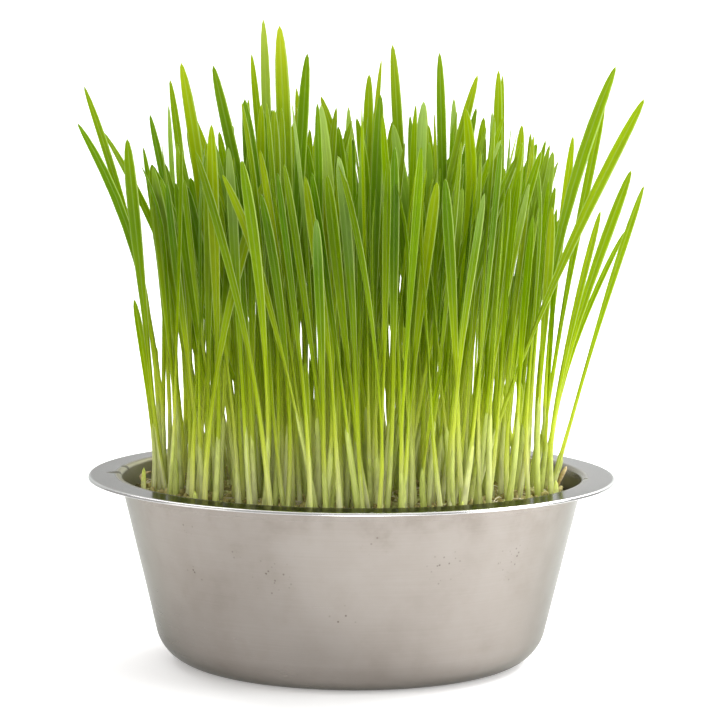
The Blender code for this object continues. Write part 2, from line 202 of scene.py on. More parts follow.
def ramp(tree, factor, stops, smooth=False):
    # A colour ramp. stops are pairs of a place and a grey or a colour.
    made = node(tree, "ShaderNodeValToRGB", Fac=factor)
    made.color_ramp.interpolation = "EASE" if smooth else "LINEAR"
    elements = made.color_ramp.elements
    while len(elements) < len(stops):
        elements.new(0.5)
    for element, (place, colour) in zip(elements, stops):
        element.position = place
        element.color = (*colour, 1.0) if isinstance(colour, tuple) else (colour, colour, colour, 1.0)
    return made.outputs["Color"]


def blend(tree, kind, factor, first, second):
    made = node(tree, "ShaderNodeMix", {"data_type": "RGBA", "blend_type": kind})
    for index, value in ((0, factor), (6, first), (7, second)):
        if isinstance(value, bpy.types.NodeSocket):
            tree.links.new(value, made.inputs[index])
        else:
            made.inputs[index].default_value = value if index == 0 else (*value, 1.0)
    return made.outputs[2]


def mix(tree, factor, first, second):
    return blend(tree, "MIX", factor, first, second)


def noise(tree, vector, scale, detail=3.0, roughness=0.5):
    made = node(tree, "ShaderNodeTexNoise", Vector=vector, Scale=scale, Detail=detail, Roughness=roughness)
    return made.outputs["Fac"]


def within(tree, point, place, reach):
    # One at the place, falling evenly to nought at the reach.
    away = node(tree, "ShaderNodeVectorMath", {"operation": "DISTANCE"}, i0=point, i1=place).outputs["Value"]
    return minus(tree, 1.0, maths(tree, "DIVIDE", away, reach), True)


def sideways(tree, x):
    # From nought at 100 mm to the left to one at 100 mm to the right.
    return plus(tree, times(tree, x, 5.0), 0.5)


def newMaterial(name):
    material = bpy.data.materials.new(name)
    material.use_nodes = True
    tree = material.node_tree
    return material, tree, tree.nodes["Principled BSDF"], tree.nodes["Material Output"]


def newGroup(name, inputs, outputs):
    # A shader group whose named sockets are all numbers.
    tree = bpy.data.node_groups.new(name, "ShaderNodeTree")
    for direction, labels in (("INPUT", inputs), ("OUTPUT", outputs)):
        for label in labels:
            tree.interface.new_socket(name=label, in_out=direction, socket_type="NodeSocketFloat")
    return tree, tree.nodes.new("NodeGroupInput"), tree.nodes.new("NodeGroupOutput")


def useGroup(tree, group, **inputs):
    made = tree.nodes.new("ShaderNodeGroup")
    made.node_tree = group
    for key, value in inputs.items():
        if isinstance(value, bpy.types.NodeSocket):
            tree.links.new(value, made.inputs[key])
        else:
            made.inputs[key].default_value = value
    return made


def attribute(tree, name):
    return node(tree, "ShaderNodeAttribute", {"attribute_name": name}).outputs["Fac"]


def lightThrough(tree, shader, output, colour, share):
    # A thin leaf: this share of the light goes through it, in this colour.
    glow = node(tree, "ShaderNodeBsdfTranslucent", Color=colour)
    mixed = node(tree, "ShaderNodeMixShader", Fac=share)
    tree.links.new(shader.outputs[0], mixed.inputs[1])
    tree.links.new(glow.outputs[0], mixed.inputs[2])
    tree.links.new(mixed.outputs[0], output.inputs["Surface"])


# The stainless bowl

bowl = {
    "rimRadius": 0.110,
    "height": 0.078,
    "wallTop": 0.097,
    "wallBottom": 0.0783,
    "sheet": 0.0009,
    "baseCorner": 0.017,
    "shoulder": 0.0016,
    "lip": 0.0008,
    "lipEnd": 0,
    "around": 256,
    "wave": 0.00006,
    "steelColour": (0.274, 0.247, 0.223),
    # smudge colour, which also paints the shade under the rim
    "smudgeAndShadeColour": (0.196, 0.168, 0.144),
    "grainColour": (0.62, 0.60, 0.58),
    "pitColour": (0.085, 0.065, 0.050),
    "lipColour": (0.62, 0.61, 0.60),
    "smearColour": (0.075, 0.070, 0.045),
    # olive of the soil stain and of the painted grass reflection on the inner wall
    "stainAndReflectionColour": (0.18, 0.168, 0.090),
    "edgeTint": (0.52, 0.54, 0.53),
    "flangeTint": (0.355, 0.365, 0.365),
    "roughness": (0.25, 0.36),
    "rimRoughness": 0.15,
    "soiledRoughness": 0.75,
    # where soil has smeared the flange, in metres, and how far it reaches
    "smears": (
        ((-0.0988, -0.004, 0.078), 0.0060), ((-0.0962, 0.015, 0.0775), 0.0036),
        ((0.0970, -0.012, 0.0775), 0.0026)
    ),
    # marks on the wall: place, reach, share of pits, share of tarnish
    "marks": (
        ((-0.0620, -0.0652, 0.0474), 0.0060, 1.0, 0.9), ((-0.0451, -0.0800, 0.0585), 0.0045, 0.5, 0.9),
        ((-0.0311, -0.0850, 0.0475), 0.0110, 0.45, 0.3), ((0.0100, -0.0934, 0.0645), 0.0080, 0.25, 1.6),
        ((0.0371, -0.0837, 0.0520), 0.0100, 0.40, 0.3), ((0.0642, -0.0650, 0.0515), 0.0110, 0.45, 0.3),
        ((-0.0030, -0.0862, 0.0325), 0.0070, 0.45, 0.5), ((-0.0658, -0.0684, 0.0665), 0.0070, 0.25, 1.4),
        ((0.0620, 0.0650, 0.0480), 0.0100, 0.45, 0.6), ((-0.0560, 0.0720, 0.0400), 0.0080, 0.60, 0.6)
    ),
}


def arcPoints(centre, radius, start, end, steps):
    turns = np.radians(np.linspace(start, end, steps + 1))
    return np.stack([centre[0] + radius * np.cos(turns), centre[1] + radius * np.sin(turns)], axis=-1)


def bowlProfile(inset):
    # One side of the sheet, from the lip over the rim, down the wall and in to the middle of the base.
    slope = math.atan((bowl["wallTop"] - bowl["wallBottom"]) / bowl["height"])
    half = bowl["sheet"] / 2
    flange = bowl["height"] - half
    lipCentre = (bowl["rimRadius"] - half - bowl["lip"], flange - bowl["lip"])
    shoulderZ = flange - bowl["shoulder"]
    wallX = bowl["wallBottom"] + shoulderZ * math.tan(slope) - half / math.cos(slope)
    shoulderCentre = (wallX + bowl["shoulder"] / math.cos(slope), shoulderZ)
    cornerX = bowl["wallBottom"] + bowl["baseCorner"] * (math.tan(slope) - 1 / math.cos(slope))
    lean = math.degrees(slope)
    lip = arcPoints(lipCentre, bowl["lip"] + inset, bowl["lipEnd"], 90, 10)
    shoulder = arcPoints(shoulderCentre, bowl["shoulder"] + inset, 90, 180 - lean, 12)
    corner = arcPoints((cornerX, bowl["baseCorner"]), bowl["baseCorner"] - half - inset, -lean, -90, 14)
    middle = np.array([[0.0005, half + inset]])
    stretches = [lip, shoulder, corner, middle]
    points = [lip[:1]]
    for before, after in zip(stretches[:-1], stretches[1:]):
        points.append(before[1:])
        share = np.linspace(0, 1, 10)[1:, None]
        points.append(before[-1] + (after[0] - before[-1]) * share)
    return np.concatenate(points)


def makeBowl():
    # Profile turned round Z. A slow wave of the radius, of less than a tenth of a millimetre, keeps the shine
    # from being exact.
    half = bowl["sheet"] / 2
    inner, outer = bowlProfile(half), bowlProfile(-half)
    profile = np.concatenate([outer[::-1], inner])
    radius, height = profile[:, 0], profile[:, 1]
    bearing = np.linspace(0, 2 * np.pi, bowl["around"], endpoint=False)
    wave = np.sin(3 * bearing + 1.1)[None] * np.sin(height * 60)[:, None] + 0.6 * np.sin(7 * bearing)[None]
    wall = np.clip((height - 0.012) / 0.02, 0, 1) * np.clip((0.074 - height) / 0.02, 0, 1)
    spread = radius[:, None] + bowl["wave"] * wave * wall[:, None]
    points = aroundZ(spread, bearing, height[:, None])
    points[0], points[-1] = points[0] * (0.2, 0.2, 1), points[-1] * (0.2, 0.2, 1)
    rows, columns = spread.shape
    faces = np.concatenate([gridFaces(rows, columns), ringCaps(rows, columns)])
    inside = np.broadcast_to((np.arange(rows) >= len(outer))[:, None], (rows, columns))
    return newPiece("steelBowl", points, faces, steelMaterial(), {"inside": inside}, "steel", ("bowl",))


def steelMaterial():
    material, tree, shader, _ = newMaterial("satinSteel")
    point = node(tree, "ShaderNodeTexCoord").outputs["Object"]
    x, y, z = node(tree, "ShaderNodeSeparateXYZ", Vector=point).outputs
    flat = node(tree, "ShaderNodeCombineXYZ", X=x, Y=y).outputs[0]
    radius = node(tree, "ShaderNodeVectorMath", {"operation": "LENGTH"}, i0=flat).outputs["Value"]
    height = times(tree, z, 10.0)
    # Brushing runs round the bowl: slow along the turn, fast across it
    across = times(tree, minus(tree, radius, z), 1300.0)
    brushed = node(tree, "ShaderNodeCombineXYZ", X=times(tree, x, 12.0), Y=times(tree, y, 12.0), Z=across)
    grain = noise(tree, brushed.outputs[0], 2.0, 4.0, 0.65)
    clouds = noise(tree, point, 17.0, 5.0, 0.62)
    blots = noise(tree, point, 48.0, 4.0, 0.6)
    cloudy = ramp(tree, clouds, ((0.36, 0.0), (0.70, 1.0)), True)
    blotched = ramp(tree, blots, ((0.42, 0.0), (0.72, 1.0)), True)
    smudgesAndShade = plus(tree, times(tree, cloudy, 0.45), times(tree, blotched, 0.30), True)
    # The wall is darker in a band just under the rim, a painted shade, and tarnished round a few marks
    pitted = 0.0
    rimShadeAndTarnish = times(tree, ramp(tree, height, ((0.60, 0.0), (0.74, 0.8), (0.765, 0.0))), 0.8)
    for place, reach, pits, tarnish in bowl["marks"]:
        near = within(tree, point, place, reach)
        pitted = plus(tree, pitted, times(tree, near, pits), True)
        rimShadeAndTarnish = plus(tree, rimShadeAndTarnish, times(tree, near, tarnish))
    # The painted shade under the rim is added to the smudges
    smudgesAndShade = plus(tree, smudgesAndShade, times(tree, rimShadeAndTarnish, plus(tree, blotched, 0.15)), True)
    colour = mix(tree, times(tree, smudgesAndShade, 0.8), bowl["steelColour"], bowl["smudgeAndShadeColour"])
    colour = mix(tree, times(tree, grain, 0.10), colour, bowl["grainColour"])
    # Pits of half a millimetre: a dot in some of the small cells, within the marks
    cells = node(tree, "ShaderNodeTexVoronoi", Vector=point, Scale=560.0, Randomness=1.0).outputs
    chosen = ramp(tree, cells["Color"], ((0.50, 0.0), (0.56, 1.0)))
    dots = times(tree, ramp(tree, cells["Distance"], ((0.12, 1.0), (0.30, 0.0))), chosen)
    spots = times(tree, dots, ramp(tree, pitted, ((0.02, 0.0), (0.30, 0.85))))
    colour = mix(tree, spots, colour, bowl["pitColour"])
    # The lip is brighter than the wall, and the flat of the flange duller at a low angle
    lip = ramp(tree, times(tree, radius, 9.0), ((0.977, 0.0), (0.984, 1.0)))
    level = ramp(tree, height, ((0.7745, 0.0), (0.7775, 1.0)))
    flange = times(tree, level, minus(tree, 1.0, lip))
    colour = mix(tree, lip, colour, bowl["lipColour"])
    # Soil smeared on the flange: a spot with a torn edge
    torn = noise(tree, point, 420.0, 3.0, 0.6)
    dirt = 0.0
    for place, reach in bowl["smears"]:
        spot = times(tree, plus(tree, within(tree, point, place, reach), torn), 0.5)
        dirt = plus(tree, dirt, ramp(tree, spot, ((0.45, 0.0), (0.52, 0.9))), True)
    # From the shoulder down the inner wall is stained by wet soil and painted with an olive reflection of the
    # grass, most of all on the left
    below = ramp(tree, times(tree, radius, 10.0), ((0.976, 1.0), (0.992, 0.0)))
    stainAndGrassReflection = times(tree, attribute(tree, "inside"), below)
    stainAndGrassReflection = times(tree, stainAndGrassReflection, ramp(tree, blots, ((0.30, 0.75), (0.60, 1.0))))
    stainAndGrassReflection = times(tree, stainAndGrassReflection, ramp(tree, sideways(tree, x), ((0.15, 1.0), (0.60, 0.35))))
    colour = mix(tree, stainAndGrassReflection, colour, bowl["stainAndReflectionColour"])
    colour = mix(tree, dirt, colour, bowl["smearColour"])
    tree.links.new(colour, shader.inputs["Base Color"])
    bare = minus(tree, 1.0, plus(tree, dirt, times(tree, stainAndGrassReflection, 0.45), True))
    tree.links.new(bare, shader.inputs["Metallic"])
    tint = mix(tree, flange, bowl["edgeTint"], bowl["flangeTint"])
    tree.links.new(tint, shader.inputs["Specular Tint"])
    # Satin steel, with a polished rim, and matt where soil lies on it
    low, high = bowl["roughness"]
    matt = plus(tree, times(tree, clouds, 0.6), times(tree, grain, 0.4))
    gloss = node(tree, "ShaderNodeMapRange", Value=matt, i1=0.3, i2=0.7, i3=low, i4=high).outputs[0]
    rim = ramp(tree, height, ((0.71, 0.0), (0.76, 1.0)))
    soiled = plus(tree, dirt, times(tree, stainAndGrassReflection, 0.5), True)
    for share, value in ((rim, bowl["rimRoughness"]), (soiled, bowl["soiledRoughness"])):
        gloss = node(tree, "ShaderNodeMix", {"data_type": "FLOAT"}, i0=share, i2=gloss, i3=value).outputs[0]
    tree.links.new(gloss, shader.inputs["Roughness"])
    bump = node(tree, "ShaderNodeBump", Strength=0.05, Distance=0.0002, Height=grain)
    tree.links.new(bump.outputs[0], shader.inputs["Normal"])
    return material


# Where each blade grows

stand = {
    "seed": 11,
    "scattered": 352,
    "extra": 60,
    "radius": 0.082,
    "matTop": 0.071,
    "matRadius": 0.088,
    "rings": ((0.0, 0.020, 1), (0.020, 0.054, 6), (0.054, 0.088, 12)),
    "rootMargin": 0.0019,
    "stemWidth": 0.0018,
    "footWidth": 0.0026,
    # shares of the height and the thickness there
    "tallBlade": ((0.0, 0.27, 0.54, 0.76, 0.92, 1.0), (0.0017, 0.0013, 0.0011, 0.0010, 0.0008, 0.0)),
    "crowdBlade": ((0.0, 0.38, 0.70, 0.90, 1.0), (0.0017, 0.0012, 0.0010, 0.0008, 0.0)),
    "keelShare": 0.65,
    "bladeGap": 0.00025,
    "testLevels": 41,
    "tallest": 0.200,
    "tries": 40,
    "facing": 20,
    "crowdFacing": 80,
}

# The tall blades of the outline, in millimetres:
# root x, root y, tip x, tip y, height over the mat, greatest width, curl
outlineBlades = (
    (-80, -12, -90, -14, 80, 3.2, 1.3), (-80, -10, -114, -8, 152, 4.8, 2.8),
    (-77, 2, -112, 4, 167, 3.6, 1.8), (-59, 16, -105, 18, 148, 4.0, 1.9),
    (-79, -20, -92, -22, 146, 5.2, 1.1), (-76, 10, -88, 8, 142, 2.8, 2.2),
    (-79, -2, -78, -4, 124, 2.6, 1.5), (-70, 28, -79, 30, 159, 2.4, 1.3), (-65, 22, -78, 24, 170, 3.6, 2.0),
    (-57, -12, -71, -10, 177, 5.2, 2.4), (-26, -34, -57, -30, 176, 4.8, 1.4),
    (-46, 26, -45, 30, 162, 2.8, 1.5), (-34, 12, -43, 12, 181, 3.6, 2.5),
    (-34, -10, -38, -6, 195, 4.0, 1.9), (-23, -40, -30, -36, 192, 6.0, 1.5),
    (-26, -50, -19, -50, 181, 5.2, 1.3), (-20, 20, -25, 20, 167, 3.2, 2.6),
    (6, -14, -14, -14, 164, 4.4, 3.0), (-5, -52, -13, -56, 161, 4.4, 2.4), (0, 30, -2, 30, 159, 3.6, 2.0),
    (5, 32, 6, 34, 173, 4.8, 1.5), (6, 24, 11, 26, 179, 2.4, 4.0), (8, -44, 10, -44, 165, 4.8, 2.0),
    (24, -24, 15, -20, 185, 4.4, 1.5), (26, 2, 19, 4, 185, 4.0, 2.0), (31, 18, 29, 18, 161, 3.6, 1.5),
    (39, -20, 34, -16, 182, 4.0, 2.0), (42, 34, 42, 36, 163, 3.6, 1.5), (44, 8, 46, 10, 170, 3.2, 2.0),
    (28, -40, 49, -34, 173, 4.4, 2.4), (48, 36, 55, 40, 155, 4.8, 2.6), (56, 0, 57, 0, 158, 2.8, 1.5),
    (59, -26, 58, -22, 175, 4.0, 1.5), (62, 14, 62, 14, 173, 2.8, 1.5), (60, -34, 72, -30, 165, 5.8, 3.2),
    (70, 20, 69, 20, 165, 2.8, 1.5), (75, 30, 78, 34, 155, 3.6, 2.5), (71, 6, 73, 8, 149, 3.2, 1.5),
    (68, -10, 81, -6, 142, 4.8, 1.4), (80, 8, 91, 10, 148, 3.6, 1.7), (75, -14, 106, -10, 177, 6.0, 2.3),
    (80, 20, 105, 22, 162, 4.0, 1.3), (51, -40, 117, -28, 164, 5.6, 1.3), (82, 0, 115, 4, 134, 5.2, 1.6),
    (85, -6, 120, -4, 128, 4.0, 1.2), (83, 12, 114, 14, 108, 2.8, 1.8), (80, -18, 101, -16, 118, 3.2, 1.5),
    (-58, -62, -35, -62, 132, 4.4, 1.9), (-33, -74, -62, -60, 142, 3.6, 1.7),
    (-8, -76, -7, -72, 131, 3.8, 1.5),
)

# Blades that lean out at the front and back: bearing of the root in degrees, height, lean, width
leaningBlades = (
    (-112, 140, 24, 4.6), (-98, 118, 20, 4.0), (-74, 146, 28, 4.8), (-58, 128, 22, 4.2), (48, 150, 27, 4.6),
    (66, 138, 24, 4.4), (84, 158, 30, 5.0), (101, 132, 22, 4.0), (118, 150, 28, 4.8), (136, 140, 24, 4.2),
)


def seat(x, y):
    # The clump that a root belongs to, and the root moved in from the clump's edges.
    radius, bearing = math.hypot(x, y), math.atan2(y, x) % math.tau
    margin, clump = stand["rootMargin"], 0
    for inner, outer, count in stand["rings"]:
        if radius >= outer and outer < stand["matRadius"]:
            clump += count
            continue
        if count == 1:
            radius = min(radius, outer - margin)
            return clump, radius * math.cos(bearing), radius * math.sin(bearing)
        radius = min(max(radius, inner + margin), outer - margin)
        number = min(int(bearing / math.tau * count), count - 1)
        width = math.tau / count
        trim = margin / radius
        bearing = min(max(bearing, number * width + trim), (number + 1) * width - trim)
        return clump + number, radius * math.cos(bearing), radius * math.sin(bearing)


def widthAt(share, greatest):
    # Width: a wider foot, a narrow stem, a smooth step up to the leaf at four fifths, then a rounded point.
    foot = (stand["footWidth"] - stand["stemWidth"]) * np.maximum(0.0, 1 - share / 0.22)
    rise = np.clip((share - 0.36) / 0.46, 0.0, 1.0)
    leaf = stand["stemWidth"] + foot + (greatest - stand["stemWidth"]) * rise * rise * (3 - 2 * rise)
    taper = np.maximum(0.0, (share - 0.82) / 0.18)
    return leaf * np.sqrt(np.maximum(0.0, 1 - taper**2.5))


def levelsOf(blade):
    # The blade's centre, half-width vector and thickness at even heights. Above the tip it is empty.
    share, thickness = (np.array(row) for row in stand[blade["kind"]])
    bend = share ** blade["curl"]
    half = widthAt(share, blade["width"]) / 2
    turn = blade["turn"] + blade["twist"] * share
    rows = np.stack([blade["root"][0] + blade["lean"][0] * bend, blade["root"][1] + blade["lean"][1] * bend,
                     half * np.cos(turn), half * np.sin(turn), thickness], axis=1)
    levels = np.linspace(0, stand["tallest"], stand["testLevels"])
    found = np.stack([np.interp(levels, share * blade["height"], rows[:, k]) for k in range(5)], axis=1)
    found[levels > blade["height"]] = np.nan
    return found


def pointToStrip(point, centre, half):
    # Distance from points to strips that run from centre - half to centre + half.
    length = np.maximum((half**2).sum(-1), 1e-12)
    along = np.clip(((point - centre) * half).sum(-1) / length, -1, 1)
    return np.linalg.norm(point - centre - along[..., None] * half, axis=-1)


def isClear(own, others):
    # True if the blade keeps clear of every other blade at every level.
    a, p, b, q = own[:, 0:2], own[:, 2:4], others[..., 0:2], others[..., 2:4]
    gap = np.minimum.reduce([pointToStrip(a + p, b, q), pointToStrip(a - p, b, q),
                             pointToStrip(b + q, a, p), pointToStrip(b - q, a, p)])
    across = p[:, 0] * q[..., 1] - p[:, 1] * q[..., 0]
    across = np.where(np.abs(across) < 1e-12, 1e-12, across)
    apart = b - a
    onA = (apart[..., 0] * q[..., 1] - apart[..., 1] * q[..., 0]) / across
    onB = (apart[..., 0] * p[:, 1] - apart[..., 1] * p[:, 0]) / across
    crossing = (np.abs(onA) <= 1) & (np.abs(onB) <= 1)
    needed = stand["keelShare"] * (own[:, 4] + others[..., 4]) + stand["bladeGap"]
    return not bool((crossing | (gap < needed)).any())


def outlineCandidate(row, draw):
    rootX, rootY, tipX, tipY, height, width, curl = row
    shift = draw.uniform(-4, 4)
    clump, x, y = seat(rootX * millimetre, (rootY + shift) * millimetre)
    return {
        "clump": clump, "kind": "tallBlade", "root": (x, y),
        "lean": (tipX * millimetre - x, (tipY + shift) * millimetre - y),
        "height": height * millimetre, "width": width * millimetre, "curl": curl,
        "turn": math.radians(draw.uniform(-stand["facing"], stand["facing"])),
        "twist": math.radians(draw.uniform(-stand["facing"], stand["facing"])),
    }


def leaningCandidate(row, draw):
    bearing, height, lean, width = row
    bearing = math.radians(bearing + draw.uniform(-4, 4))
    radius = stand["radius"] - draw.uniform(0, 8) * millimetre
    clump, x, y = seat(radius * math.cos(bearing), radius * math.sin(bearing))
    out = lean * millimetre
    return {
        "clump": clump, "kind": "tallBlade", "root": (x, y),
        "lean": (out * math.cos(bearing), out * math.sin(bearing)),
        "height": height * millimetre, "width": width * millimetre, "curl": draw.uniform(1.4, 2.4),
        "turn": draw.uniform(0, math.pi),
        "twist": math.radians(draw.uniform(-stand["facing"], stand["facing"])),
    }


def scatteredCandidate(number, draw):
    # Even spacing by the golden angle. The extra ones stand between the first, and are thinner and lean more.
    extra = number >= stand["scattered"]
    share = (number + 0.5) / stand["scattered"]
    if extra:
        share = (number - stand["scattered"] + 0.7) / stand["extra"]
    radius = stand["radius"] * math.sqrt(share)
    bearing = number * math.pi * (3 - math.sqrt(5))
    x = radius * math.cos(bearing) + draw.gauss(0, 1.8) * millimetre
    y = radius * math.sin(bearing) + draw.gauss(0, 1.8) * millimetre
    clump, x, y = seat(x, y)
    share = radius / stand["radius"]
    height = 125 + 38 * draw.random() ** 0.8 - 8 * share**3 - 16 * (x / stand["radius"]) ** 4 - 100 * y
    if number % 16 == 3:
        height = 50 + 55 * draw.random()
    spread = height * (0.15 if number % 5 == 2 or extra else 0.09)
    leanX = 0.05 * x + draw.gauss(0, spread) * millimetre
    leanY = 0.05 * y + draw.gauss(0, spread) * millimetre
    reach = math.hypot(x + leanX, y + leanY)
    most = stand["radius"] + 2 * millimetre
    if reach > most:
        leanX = (x + leanX) * most / reach - x
        leanY = (y + leanY) * most / reach - y
    thinner = 0.8 if extra else 1.0
    return {
        "clump": clump, "kind": "crowdBlade", "root": (x, y), "lean": (leanX, leanY),
        "height": height * millimetre,
        "width": draw.uniform(3.0, 5.4) * millimetre * min(1.0, 0.45 + height / 200) * thinner,
        "curl": draw.uniform(1.3, 2.2) if number % 3 == 0 and not extra else draw.uniform(1.0, 1.5),
        "turn": math.radians(draw.uniform(-stand["crowdFacing"], stand["crowdFacing"])),
        "twist": math.radians(draw.uniform(-45, 45)),
    }


def nearOnes(levels, placed):
    # The placed blades whose boxes in plan, with room for half a width and 2 mm, meet this blade's box.
    def box(rows):
        room = np.nanmax(np.abs(rows[..., 2:4]), axis=(-2, -1))[..., None] + 2 * millimetre
        return np.nanmin(rows[..., :2], axis=-2) - room, np.nanmax(rows[..., :2], axis=-2) + room

    (low, high), (ownLow, ownHigh) = box(placed), box(levels)
    return placed[((low < ownHigh) & (high > ownLow)).all(axis=1)]


def growBlades():
    # Each blade is drawn again until it stands clear of those before it. The solids' own blades come first,
    # and are the same here. The outline's blades that found no room are then tried again, and the extra thin
    # ones come last.
    draw = random.Random(stand["seed"])
    first = [(outlineCandidate, row) for row in outlineBlades]
    first += [(leaningCandidate, row) for row in leaningBlades]
    first += [(scatteredCandidate, number) for number in range(stand["scattered"])]
    thin = [(scatteredCandidate, stand["scattered"] + number) for number in range(stand["extra"])]
    placed = np.full((len(first) + len(thin), stand["testLevels"], 5), np.nan)
    blades, missed = [], []

    def plant(candidate, what, asSolid):
        for _ in range(stand["tries"]):
            blade = candidate(what, draw)
            levels, before = levelsOf(blade), placed[:len(blades)]
            # The solids' test also turns down a tip at one level with another's, wherever that one stands
            tip = np.abs(levels[:, 2:4]).max(axis=1) < 1e-6
            farOff = before[:, tip] if asSolid else before[:0, tip]
            if isClear(levels, nearOnes(levels, before)) and isClear(levels[tip], farOff):
                placed[len(blades)] = levels
                blades.append(blade)
                return
        if asSolid and candidate is outlineCandidate:
            missed.append((candidate, what))

    for candidate, what in first:
        plant(candidate, what, True)
    for candidate, what in missed + thin:
        plant(candidate, what, False)
    return blades


# The blades

leaf = {
    "sunk": 0.002,
    "stations": (0.0, 0.06, 0.14, 0.24, 0.34, 0.44, 0.54, 0.63, 0.72, 0.80, 0.87, 0.925, 0.965, 0.99, 1.0),
    "sheet": 0.00045,
    "leastHalf": 0.00012,
    "stemDepth": 0.0022,
    "wobble": 0.0007,
    "footSplay": 0.0032,
    "hooked": 0.22,
    "hook": (0.002, 0.007),
    # linear colours up the blade, by share of 200 mm over the mat
    "colours": (
        (0.0, (0.90, 0.91, 0.50)), (0.06, (0.87, 0.89, 0.38)), (0.15, (0.70, 0.77, 0.10)),
        (0.26, (0.49, 0.61, 0.005)), (0.40, (0.305, 0.44, 0.000)), (0.60, (0.150, 0.255, 0.000)),
        (0.80, (0.240, 0.330, 0.000)), (1.0, (0.53, 0.53, 0.025))
    ),
    "deepGreen": (0.075, 0.20, 0.000),
    "yellowGreen": (0.40, 0.48, 0.000),
    "glaucous": (0.40, 0.52, 0.20),
    # colours of the painted highlight along the edges of leaf and stem
    "margin": (0.50, 0.60, 0.20),
    "stemEdgeHighlight": (0.88, 0.95, 0.36),
    "through": (0.56, 0.70, 0.000),
}


def columnOf(blades, key):
    # One value of every blade, as a column that goes with a row of stations.
    return np.array([blade[key] for blade in blades])[:, None]


def bladeShapes(blades, noiseDraw):
    # Section points over every station of every blade: left edge, front middle, right edge, keel.
    # The centre line leaves the root along the lean by share to the power of curl. A slow sine wave bends it
    # a little more, the foot is set aside by the square of what is left of its height, and some tips of the
    # crowd hook over. The half width turns with the share, and the front middle sinks behind the edges as a
    # channel.
    share = np.array(leaf["stations"])[None]
    height, width, curl, turned, twist, root, lean, foot = (
        columnOf(blades, key) for key in ("height", "width", "curl", "turn", "twist", "root", "lean", "foot")
    )
    crowd = columnOf(blades, "kind") == "crowdBlade"
    count = len(blades)
    phase, size = noiseDraw.uniform(0, 2 * np.pi, (2, count, 1)), noiseDraw.uniform(0.2, 1.0, (2, count, 1))
    wave = np.moveaxis(leaf["wobble"] * size * np.sin(share * 5.2 + phase) * share, 0, -1)
    aside = noiseDraw.uniform(0, 2 * np.pi, (count, 1))
    bent = np.clip((share - 0.76) / 0.24, 0, 1) ** 1.7 * noiseDraw.uniform(*leaf["hook"], (count, 1))
    bent = bent * (noiseDraw.random((count, 1)) < leaf["hooked"]) * crowd
    centre = root + lean * (share**curl)[..., None] + wave
    centre = centre + foot * (np.clip(1 - share / 0.3, 0, 1) ** 2)[..., None]
    centre = centre + bent[..., None] * np.stack([np.cos(aside), np.sin(aside)], axis=-1)
    z = stand["matTop"] + share * height - 0.5 * bent
    z[:, 0] -= leaf["sunk"]
    half = np.maximum(widthAt(share, width) / 2, leaf["leastHalf"])
    turn = turned + twist * share
    side = np.stack([np.cos(turn), np.sin(turn)], axis=-1)
    back = np.stack([-np.sin(turn), np.cos(turn)], axis=-1)
    thick = np.interp(share, *stand["tallBlade"])
    opened = np.clip((share - 0.12) / 0.36, 0, 1)
    opened = opened * opened * (3 - 2 * opened)
    near = half / np.maximum(width / 2, 1e-6)
    depth = thick * np.clip(near, 0.15, 1)
    stem = 0.5 * np.minimum(leaf["stemDepth"], 2 * half) * (1 - opened)
    edge = -0.35 * depth * opened
    keel = 0.65 * depth * opened + stem
    front = (0.65 * depth - leaf["sheet"] * np.clip(near, 0.2, 1)) * opened - stem
    rows = []
    for sideways, behind in ((-half, edge), (0 * half, front), (half, edge), (0 * half, keel)):
        flat = centre + side * sideways[..., None] + back * behind[..., None]
        rows.append(np.concatenate([flat, z[..., None]], axis=-1))
    return np.stack(rows, axis=2)


def makeBlades(blades, names, material):
    # One piece for each clump of the model.
    noiseDraw = np.random.default_rng(stand["seed"])
    for blade in blades:
        blade["foot"] = noiseDraw.uniform(-1, 1, 2) * leaf["footSplay"]
    points = bladeShapes(blades, noiseDraw)
    tint = noiseDraw.random(len(blades))
    rows, columns = points.shape[1:3]
    clump = np.array([blade["clump"] for blade in blades])
    total = 0
    for number, name in enumerate(names):
        mine = np.flatnonzero(clump == number)
        grid = (len(mine), rows, columns)
        marks = {
            "across": np.broadcast_to(np.array([0.0, 0.5, 1.0, 0.5])[None, None], grid),
            "along": np.broadcast_to(np.array(leaf["stations"])[None, :, None], grid),
            "tint": np.broadcast_to(tint[mine][:, None, None], grid),
        }
        faces = np.concatenate([gridFaces(rows, columns, len(mine)), ringCaps(rows, columns, len(mine))])

        def margins(pairs):
            # The two edges of the leaf and the fold between its halves are creases. The round stem has none.
            part, station = pairs % columns, pairs // columns % rows
            return (part[:, 0] == part[:, 1]) & (part[:, 0] < 3) & (station.min(axis=1) >= 5)

        piece = newPiece(
            name + "_blades", points[mine], faces, material, marks, "wheatgrass", (name,), margins
        )
        total += len(piece.data.polygons)
    return total


